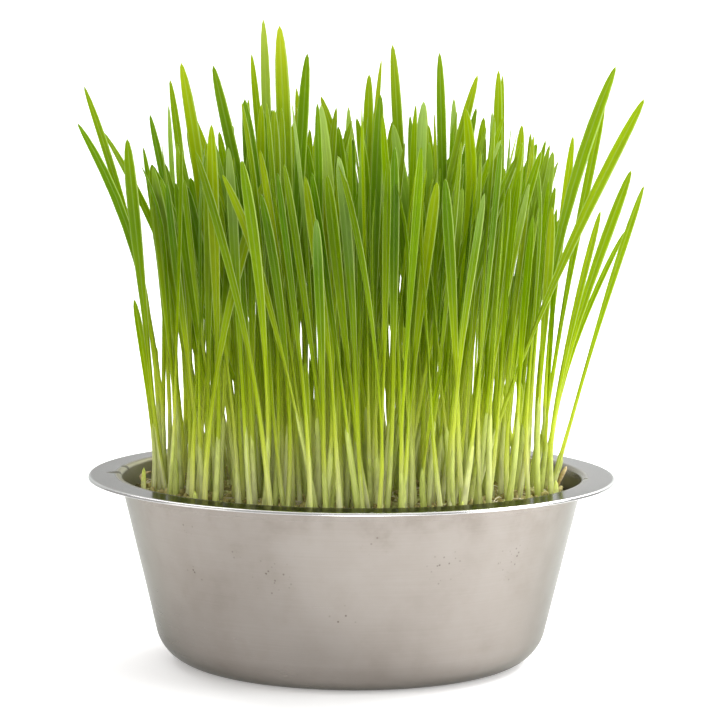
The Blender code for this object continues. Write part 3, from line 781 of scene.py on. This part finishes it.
def leafGroup():
    # Lengthwise veins: fine light and dark lines across the width, broken along the length. The pale margin
    # is a painted edge highlight, stronger on one side than the other.
    tree, into, out = newGroup("leafVeins", ("across", "along", "tint"), ("veins", "margin", "midrib"))
    across, along, tint = (into.outputs[name] for name in ("across", "along", "tint"))
    lines = node(tree, "ShaderNodeCombineXYZ", X=times(tree, across, 22.0), Y=times(tree, along, 4.0),
                 Z=times(tree, tint, 90.0)).outputs[0]
    tree.links.new(noise(tree, lines, 1.0, 2.0, 0.5), out.inputs["veins"])
    # A painted highlight along both edges of the leaf, stronger along one
    paintedEdgeLight = ramp(tree, across, ((0.86, 0.0), (0.94, 1.0)))
    paintedFarEdgeLight = ramp(tree, across, ((0.03, 0.5), (0.12, 0.0)))
    tree.links.new(plus(tree, paintedEdgeLight, paintedFarEdgeLight), out.inputs["margin"])
    middle = maths(tree, "ABSOLUTE", minus(tree, across, 0.5))
    tree.links.new(ramp(tree, middle, ((0.02, 1.0), (0.09, 0.0))), out.inputs["midrib"])
    return tree


def veinsOf(tree, group):
    # The leaf's own tint, its place along, and what the vein group makes of them.
    across, along, tint = (attribute(tree, name) for name in ("across", "along", "tint"))
    return along, tint, useGroup(tree, group, across=across, along=along, tint=tint).outputs


def shuffled(tree, tint, rate, stops):
    # Another random number of the blade, the fraction of its tint times the rate, through a ramp.
    return ramp(tree, maths(tree, "FRACT", times(tree, tint, rate)), stops)


def grassMaterial(veinGroup):
    material, tree, shader, output = newMaterial("wheatgrassLeaf")
    _, tint, vein = veinsOf(tree, veinGroup)
    point = node(tree, "ShaderNodeTexCoord").outputs["Object"]
    x, _, z = node(tree, "ShaderNodeSeparateXYZ", Vector=point).outputs
    # Height over the mat in units of 200 mm, moved up or down a little from blade to blade and in patches
    level = maths(tree, "DIVIDE", minus(tree, z, stand["matTop"]), 0.2)
    for varied in (tint, noise(tree, point, 34.0, 2.0)):
        level = plus(tree, level, times(tree, minus(tree, varied, 0.5), 0.10))
    colour = ramp(tree, level, leaf["colours"])
    grown = ramp(tree, level, ((0.28, 0.0), (0.55, 1.0)))
    # Some leaves are deeper green, and some yellower; the extra yellow toward the right is painted backlight
    deep = shuffled(tree, tint, 7.31, ((0.35, 0.0), (0.95, 0.85)))
    colour = mix(tree, times(tree, deep, grown), colour, leaf["deepGreen"])
    paintedBacklight = ramp(tree, sideways(tree, x), ((0.70, 0.0), (0.95, 0.30)))
    freshAndBacklit = plus(tree, shuffled(tree, tint, 13.7, ((0.72, 0.0), (0.95, 0.7))), paintedBacklight, True)
    colour = mix(tree, times(tree, freshAndBacklit, grown), colour, leaf["yellowGreen"])
    # Some leaves show their paler, bluer back near the tip
    nearTip = ramp(tree, level, ((0.50, 0.0), (0.80, 1.0)))
    turned = times(tree, shuffled(tree, tint, 29.3, ((0.80, 0.0), (0.90, 0.85))), nearTip)
    colour = mix(tree, turned, colour, leaf["glaucous"])
    streaks = ramp(tree, vein["veins"], ((0.34, 0.74), (0.66, 1.16)))
    colour = blend(tree, "MULTIPLY", 1.0, colour, streaks)
    # Pale margins, a painted edge highlight, and a paler midrib, fainter on the stem
    pale = plus(tree, times(tree, vein["margin"], 0.9), times(tree, vein["midrib"], 0.22), True)
    pale = times(tree, pale, plus(tree, times(tree, grown, 0.45), 0.55))
    colour = mix(tree, pale, colour, mix(tree, grown, leaf["stemEdgeHighlight"], leaf["margin"]))
    tree.links.new(colour, shader.inputs["Base Color"])
    shader.inputs["Specular IOR Level"].default_value = 0.13
    rough = node(tree, "ShaderNodeMapRange", Value=vein["veins"], i1=0.3, i2=0.7, i3=0.40, i4=0.55)
    tree.links.new(rough.outputs[0], shader.inputs["Roughness"])
    bump = node(tree, "ShaderNodeBump", Strength=0.3, Distance=0.00015, Height=vein["veins"])
    tree.links.new(bump.outputs[0], shader.inputs["Normal"])
    # Light comes through the leaf yellower than it comes off it
    through = mix(tree, times(tree, grown, 0.5), colour, leaf["through"])
    lightThrough(tree, shader, output, through, 0.6)
    return material


# Stem sheaths, grains, soil

sheath = {
    "sides": 6,
    "share": 0.92,
    "radius": 0.00110,
    "tall": (0.009, 0.042),
    "colours": ((0.0, (0.90, 0.90, 0.60)), (0.4, (0.88, 0.90, 0.50)), (1.0, (0.80, 0.87, 0.22))),
    "greener": (0.76, 0.84, 0.24),
    # sprouts that never grew on: x, y and height, in millimetres
    "stubs": (
        (-86.5, -8, 9), (-80, 34, 7), (84, -21, 7), (78, 38, 10), (30, 81, 8), (-33, 80, 9), (44, -75, 6),
        (-62, -60, 7)
    ),
}


def makeSheaths(blades, veinGroup):
    # A pale tube closes round the foot of most stems. Its radius swells a little, then closes in to a slanted
    # point.
    draw = np.random.default_rng(23)
    chosen = [blade for blade in blades if draw.random() < sheath["share"]]
    chosen += [{"root": (x * millimetre, y * millimetre), "lean": (0.0, 0.0), "foot": (0.0, 0.0),
                "height": tall * millimetre / 0.6, "curl": 1.0}
               for x, y, tall in sheath["stubs"]]
    count, rows, columns = len(chosen), 7, sheath["sides"]
    full = np.array([blade["height"] for blade in chosen])
    stubs = len(sheath["stubs"])
    drawn = draw.uniform(*sheath["tall"], count - stubs)
    tall = np.minimum(np.append(drawn, full[-stubs:]), 0.6 * full)[:, None]
    share = np.array([0.0, 0.2, 0.5, 0.78, 0.92, 0.985, 1.0])[None]
    swell = np.array([1.05, 1.12, 1.02, 0.90, 0.76, 0.42, 0.08])[None]
    fat = draw.uniform(0.85, 1.2, count)[:, None]
    rise = share * tall
    along = rise / full[:, None]
    curl, root, lean, foot = (columnOf(chosen, key) for key in ("curl", "root", "lean", "foot"))
    centre = root + lean * (along**curl)[..., None] + foot * (np.clip(1 - along / 0.3, 0, 1) ** 2)[..., None]
    bearing = np.linspace(0, 2 * np.pi, columns, endpoint=False)[None, None]
    turn = draw.uniform(0, 6.28, count)[:, None, None]
    radius = (sheath["radius"] * swell * fat)[..., None]
    slant = 0.0018 * (share > 0.75)[..., None] * np.cos(bearing)
    x = centre[..., 0][..., None] + radius * np.cos(bearing + turn)
    y = centre[..., 1][..., None] + radius * np.sin(bearing + turn)
    z = stand["matTop"] - 0.001 + rise[..., None] + slant * np.ones_like(x)
    points = np.stack([x, y, z], axis=-1)
    faces = np.concatenate([gridFaces(rows, columns, count), ringCaps(rows, columns, count)])
    marks = {
        "across": np.broadcast_to(np.abs(np.linspace(-1, 1, columns))[None, None], x.shape),
        "along": np.broadcast_to(share[..., None], x.shape),
        "tint": np.broadcast_to(draw.random(count)[:, None, None], x.shape),
    }
    return newPiece("stemSheaths", points, faces, sheathMaterial(veinGroup), marks, "wheatgrass")


def sheathMaterial(veinGroup):
    material, tree, shader, output = newMaterial("paleSheath")
    along, tint, vein = veinsOf(tree, veinGroup)
    greener = ramp(tree, tint, ((0.40, 0.0), (0.80, 0.85)))
    colour = mix(tree, greener, ramp(tree, along, sheath["colours"]), sheath["greener"])
    colour = blend(tree, "MULTIPLY", 1.0, colour, ramp(tree, vein["veins"], ((0.36, 0.76), (0.62, 1.08))))
    tree.links.new(colour, shader.inputs["Base Color"])
    shader.inputs["Roughness"].default_value = 0.4
    shader.inputs["Specular IOR Level"].default_value = 0.3
    lightThrough(tree, shader, output, colour, 0.5)
    return material


soil = {
    "top": 0.0676,
    "clear": 0.0013,
    "lump": 0.0010,
    "rows": 70,
    "colours": ((0.045, 0.030, 0.018), (0.17, 0.11, 0.055)),
}

mat = {
    "lift": 0.0006,
    "thick": 0.0026,
    "lump": 0.0007,
    "colours": ((0.24, 0.22, 0.055), (0.68, 0.67, 0.30)),
}

# Loose bits: their number, the share of the reach that stays free in the middle, how far over the ground
# their centres lie, and their size
crumbs = {
    "count": 2600,
    "reach": 0.0925,
    "free": 0.76,
    "over": (0.0008, 0.0026),
    "size": (0.0003, 0.0012),
    "colours": ((0.06, 0.052, 0.018), (0.24, 0.21, 0.075)),
}

grains = {
    "count": 950,
    "reach": 0.0875,
    "free": 0.0,
    "over": (0.0002, 0.0012),
    "size": (0.0012, 0.0011, 0.0026),
    "colours": ((0.21, 0.17, 0.050), (0.54, 0.48, 0.18)),
}


def soilGroup():
    # Crumbly ground: noise for the colour, and noise and small cells for the height.
    tree, into, out = newGroup("crumbly", ("scale",), ("light", "height"))
    point = node(tree, "ShaderNodeTexCoord").outputs["Object"]
    scale = into.outputs["scale"]
    coarse = noise(tree, point, scale, 6.0, 0.65)
    cells = node(tree, "ShaderNodeTexVoronoi", Vector=point, Scale=times(tree, scale, 2.6))
    tree.links.new(coarse, out.inputs["light"])
    tree.links.new(plus(tree, coarse, times(tree, cells.outputs["Distance"], 0.6)), out.inputs["height"])
    return tree


def earthMaterial(name, colours, group, scale):
    # A dark and a light colour in crumbs. A greater scale makes them finer.
    material, tree, shader, _ = newMaterial(name)
    crumbly = useGroup(tree, group, scale=scale).outputs
    share = ramp(tree, crumbly["light"], ((0.42, 0.0), (0.68, 1.0)))
    tree.links.new(mix(tree, share, *colours), shader.inputs["Base Color"])
    rough = node(tree, "ShaderNodeMapRange", Value=crumbly["light"], i1=0.2, i2=0.8, i3=0.95, i4=0.7)
    tree.links.new(rough.outputs[0], shader.inputs["Roughness"])
    bump = node(tree, "ShaderNodeBump", Strength=0.8, Distance=0.0008, Height=crumbly["height"])
    tree.links.new(bump.outputs[0], shader.inputs["Normal"])
    return material


def lumps(x, y, size, draw, waves=26):
    # Sum of plane waves with random directions, about 3 to 20 mm long, as an uneven surface.
    bearing, phase = draw.uniform(0, np.pi, waves), draw.uniform(0, 6.28, waves)
    pitch = 2 * np.pi / (draw.uniform(3.0, 20.0, waves) * millimetre)
    total = 0
    for turn, start, rate in zip(bearing, phase, pitch):
        total = total + np.sin((x * math.cos(turn) + y * math.sin(turn)) * rate + start)
    return size * total / math.sqrt(waves)


def makeSoil(group):
    # A turned body that fills the bowl, with an uneven top. Heights follow a sum of waves.
    draw = np.random.default_rng(5)
    slope = math.atan((bowl["wallTop"] - bowl["wallBottom"]) / bowl["height"])
    edge = bowl["wallBottom"] + soil["top"] * math.tan(slope) - soil["clear"] / math.cos(slope)
    cornerX = bowl["wallBottom"] + bowl["baseCorner"] * (math.tan(slope) - 1 / math.cos(slope))
    turnEnd = -math.degrees(slope)
    corner = arcPoints((cornerX, bowl["baseCorner"]), bowl["baseCorner"] - soil["clear"], -90, turnEnd, 8)
    rows = soil["rows"]
    top = np.stack([np.linspace(edge, 0.0006, rows), np.full(rows, soil["top"])], axis=-1)
    side = corner[-1] + (np.array([edge, soil["top"]]) - corner[-1]) * np.linspace(0, 1, 6)[1:-1, None]
    profile = np.concatenate([[[0.0006, soil["clear"]]], corner, side, top])
    bearing = np.linspace(0, 2 * np.pi, 240, endpoint=False)
    x, y = profile[:, :1] * np.cos(bearing), profile[:, :1] * np.sin(bearing)
    z = np.broadcast_to(profile[:, 1:], x.shape).copy()
    fade = np.clip((edge - top[:, :1]) / 0.002, 0.2, 1)
    z[-rows:] += (lumps(x[-rows:], y[-rows:], soil["lump"], draw) + 0.0012) * fade
    points = np.stack([x, y, z], axis=-1)
    faces = np.concatenate([gridFaces(*x.shape), ringCaps(*x.shape)])
    earth = earthMaterial("pottingSoil", soil["colours"], group, 260.0)
    return newPiece("soilBed", points, faces, earth, slot="soil", replaced=("soil",))


def makeMat(group):
    # The mat of sprouted grains and roots: a thick lumpy disc whose edge is ragged.
    draw = np.random.default_rng(6)
    bearing = np.linspace(0, 2 * np.pi, 300, endpoint=False)
    ragged = 0.0012 * np.sin(bearing * 17 + 1) * np.sin(bearing * 31) + 0.0008 * np.sin(bearing * 53 + 2)
    share = np.concatenate([[0.004, 0.5, 0.985, 1.0], np.linspace(0.99, 0.004, 70)])
    level = np.concatenate([[0, 0, 0, 0.45], np.ones(70)])
    radius = (stand["matRadius"] + ragged)[None] * share[:, None]
    x, y = radius * np.cos(bearing), radius * np.sin(bearing)
    z = np.broadcast_to((soil["top"] + mat["lift"] + level * mat["thick"])[:, None], x.shape).copy()
    z[4:] += lumps(x[4:], y[4:], mat["lump"], draw)
    points = np.stack([x, y, z], axis=-1)
    faces = np.concatenate([gridFaces(*x.shape), ringCaps(*x.shape)])
    matted = earthMaterial("mattedRoots", mat["colours"], group, 420.0)
    return newPiece("rootMat", points, faces, matted, slot="soil")


def scatterBits(name, count, rows, columns, places, sizes, bump, material, draw):
    # Small rounded bits: spheres of rows x columns points, each stretched, dented and turned in its own way.
    latitude = np.linspace(0.12, np.pi - 0.12, rows)
    bearing = np.linspace(0, 2 * np.pi, columns, endpoint=False)
    ball = aroundZ(np.sin(latitude)[:, None], bearing, np.cos(latitude)[:, None])
    shape = ball[None] * (1 + bump * draw.uniform(-1, 1, (count, rows, columns, 1)))
    shape = shape * sizes[:, None, None]
    axis = draw.normal(size=(count, 3))
    axis /= np.linalg.norm(axis, axis=1, keepdims=True)
    helper = np.where(np.abs(axis[:, :1]) < 0.8, (1.0, 0.0, 0.0), (0.0, 1.0, 0.0))
    second = np.cross(axis, helper)
    second /= np.linalg.norm(second, axis=1, keepdims=True)
    frameOf = np.stack([second, np.cross(axis, second), axis], axis=1)
    points = np.einsum("nrck,nkj->nrcj", shape, frameOf) + places[:, None, None]
    faces = np.concatenate([gridFaces(rows, columns, count), ringCaps(rows, columns, count)])[:, ::-1]
    return newPiece(name, points, faces, material, slot="soil")


def strewn(bits, ground, draw):
    # Places drawn evenly over a disc or a ring, a little over the ground.
    radius = np.sqrt(draw.uniform(bits["free"] ** 2, 1.0, bits["count"])) * bits["reach"]
    bearing = draw.uniform(0, 2 * np.pi, bits["count"])
    return aroundZ(radius, bearing, ground + draw.uniform(*bits["over"], bits["count"]))


def makeCrumbs(group):
    draw, count = np.random.default_rng(8), crumbs["count"]
    places = strewn(crumbs, soil["top"], draw)
    sizes = draw.uniform(*crumbs["size"], (count, 1)) * draw.uniform(0.6, 1.3, (count, 3))
    crumb = earthMaterial("soilCrumbs", crumbs["colours"], group, 500.0)
    scatterBits("soilCrumbs", count, 5, 6, places, sizes, 0.3, crumb, draw)


def makeGrains(group):
    draw, count = np.random.default_rng(9), grains["count"]
    places = strewn(grains, stand["matTop"], draw)
    sizes = np.array(grains["size"]) * draw.uniform(0.85, 1.15, (count, 3))
    husk = earthMaterial("wheatHusk", grains["colours"], group, 150.0)
    scatterBits("wheatGrains", count, 7, 8, places, sizes, 0.05, husk, draw)


litter = {
    "threads": 260,
    "threadColours": ((0.52, 0.45, 0.30), (0.78, 0.72, 0.55)),
    "huskColours": ((0.42, 0.30, 0.14), (0.66, 0.54, 0.32)),
    # dry sheaths by the wall: start and end in metres, and how high they arch
    "husks": (
        ((0.0868, 0.006, 0.0715), (0.0905, 0.010, 0.0800), 0.0012),
        ((0.0875, 0.018, 0.0712), (0.0850, 0.032, 0.0722), 0.0030),
        ((-0.0880, 0.012, 0.0712), (-0.0868, 0.024, 0.0735), 0.0025),
        ((0.0300, 0.0840, 0.0712), (0.0180, 0.0875, 0.0725), 0.0020),
        ((-0.0520, -0.0690, 0.0715), (-0.0610, -0.0640, 0.0722), 0.0022),
        ((0.0620, -0.0600, 0.0715), (0.0700, -0.0540, 0.0725), 0.0020),
    ),
}


def ribbons(name, start, end, arch, width, thick, material, draw):
    # Closed strips of a diamond section. The centre line runs from start to end, lifted by arch times
    # 4 t (1 - t) and set aside by a sine of t. The strip narrows to both ends by the root of sine of pi t.
    count, t = len(start), np.linspace(0.0, 1.0, 9)[None, :, None]
    run = end - start
    flat = run[:, :2] / np.maximum(np.linalg.norm(run[:, :2], axis=1, keepdims=True), 1e-9)
    side = np.stack([-flat[:, 1], flat[:, 0], np.zeros(count)], axis=1)[:, None]
    sway = draw.uniform(-0.12, 0.12, (count, 1, 1)) * np.linalg.norm(run, axis=1)[:, None, None]
    centre = start[:, None] + run[:, None] * t + side * sway * np.sin(2 * np.pi * t)
    centre = centre + np.array([0.0, 0.0, 1.0]) * 4 * arch[:, None, None] * t * (1 - t)
    swell = np.sqrt(np.maximum(np.sin(np.pi * t), 0.03))
    up = np.array([0.0, 0.0, 1.0])
    corners = [centre + side * width / 2 * swell, centre + up * thick / 2 * swell,
               centre - side * width / 2 * swell, centre - up * thick / 2 * swell]
    points = np.stack(corners, axis=2)
    faces = np.concatenate([gridFaces(9, 4, count), ringCaps(9, 4, count)])[:, ::-1]
    return newPiece(name, points, faces, material, slot="soil")


def makeLitter(group):
    # Fine roots that lie on the mat, and dry sheaths by the wall.
    draw = np.random.default_rng(10)
    count = litter["threads"]
    radius, bearing = np.sqrt(draw.uniform(0, 1, count)) * 0.086, draw.uniform(0, 2 * np.pi, count)
    way, length = draw.uniform(0, 2 * np.pi, count), draw.uniform(0.005, 0.014, count)
    start = aroundZ(radius, bearing, stand["matTop"] + draw.uniform(0.0, 0.0008, count))
    end = start + aroundZ(length, way, draw.uniform(-0.0008, 0.0008, count))
    out = np.linalg.norm(end[:, :2], axis=1)
    end[:, :2] *= np.minimum(1, stand["matRadius"] / out)[:, None]
    thread = earthMaterial("rootThread", litter["threadColours"], group, 300.0)
    ribbons("rootThreads", start, end, draw.uniform(0.0002, 0.0018, count), 0.0005, 0.0005, thread, draw)
    husk = earthMaterial("drySheath", litter["huskColours"], group, 200.0)
    start, end, arch = (np.array([row[k] for row in litter["husks"]]) for k in range(3))
    ribbons("drySheaths", start, end, arch, 0.0026, 0.0007, husk, draw)


# Floor and the whole scene

def makeFloor():
    material, tree, shader, _ = newMaterial("paleFloor")
    size = studio["floorSize"]
    haze = noise(tree, node(tree, "ShaderNodeTexCoord").outputs["Object"], 3.0, 2.0)
    dim = tuple(0.985 * part for part in studio["floorColour"])
    shade = ramp(tree, haze, ((0.3, dim), (0.7, studio["floorColour"])))
    tree.links.new(shade, shader.inputs["Base Color"])
    shader.inputs["Roughness"].default_value = 0.7
    shader.inputs["Specular IOR Level"].default_value = 0.2
    # The floor is a table that is lit a little from below
    shader.inputs["Emission Color"].default_value = (*studio["floorColour"], 1.0)
    shader.inputs["Emission Strength"].default_value = studio["floorGlow"]
    # A sheet that lies flat and then curves up behind: run along y, then a quarter turn, then straight up
    run = np.linspace(-size / 2, size / 2 - 1.0, 8)
    turn = np.linspace(0, np.pi / 2, 16)[1:]
    y = np.concatenate([run, size / 2 - 1.0 + np.sin(turn), [size / 2]])
    z = np.concatenate([0 * run, 1 - np.cos(turn), [3.0]])
    x = np.linspace(-size / 2, size / 2, 8)
    points = np.stack(np.broadcast_arrays(x[None], y[:, None], z[:, None]), axis=-1)
    floor = newPiece("paleFloor", points, gridFaces(len(y), len(x), wrap=False), material)


def main():
    makeCamera()
    makeLights()
    makeFloor()
    print("camera, light and floor are up")
    makeBowl()
    print("the bowl is turned")
    blades = growBlades()
    names = ["grass_centre"] + [f"grass_middle_{k}" for k in range(1, 7)]
    names += [f"grass_outer_{k}" for k in range(1, 13)]
    veins = leafGroup()
    faces = makeBlades(blades, names, grassMaterial(veins))
    print("blades:", len(blades), "faces:", faces)
    makeSheaths(blades, veins)
    crumbly = soilGroup()
    makeSoil(crumbly)
    makeMat(crumbly)
    makeCrumbs(crumbly)
    makeGrains(crumbly)
    makeLitter(crumbly)
    print("soil, roots and grains are in")


main()
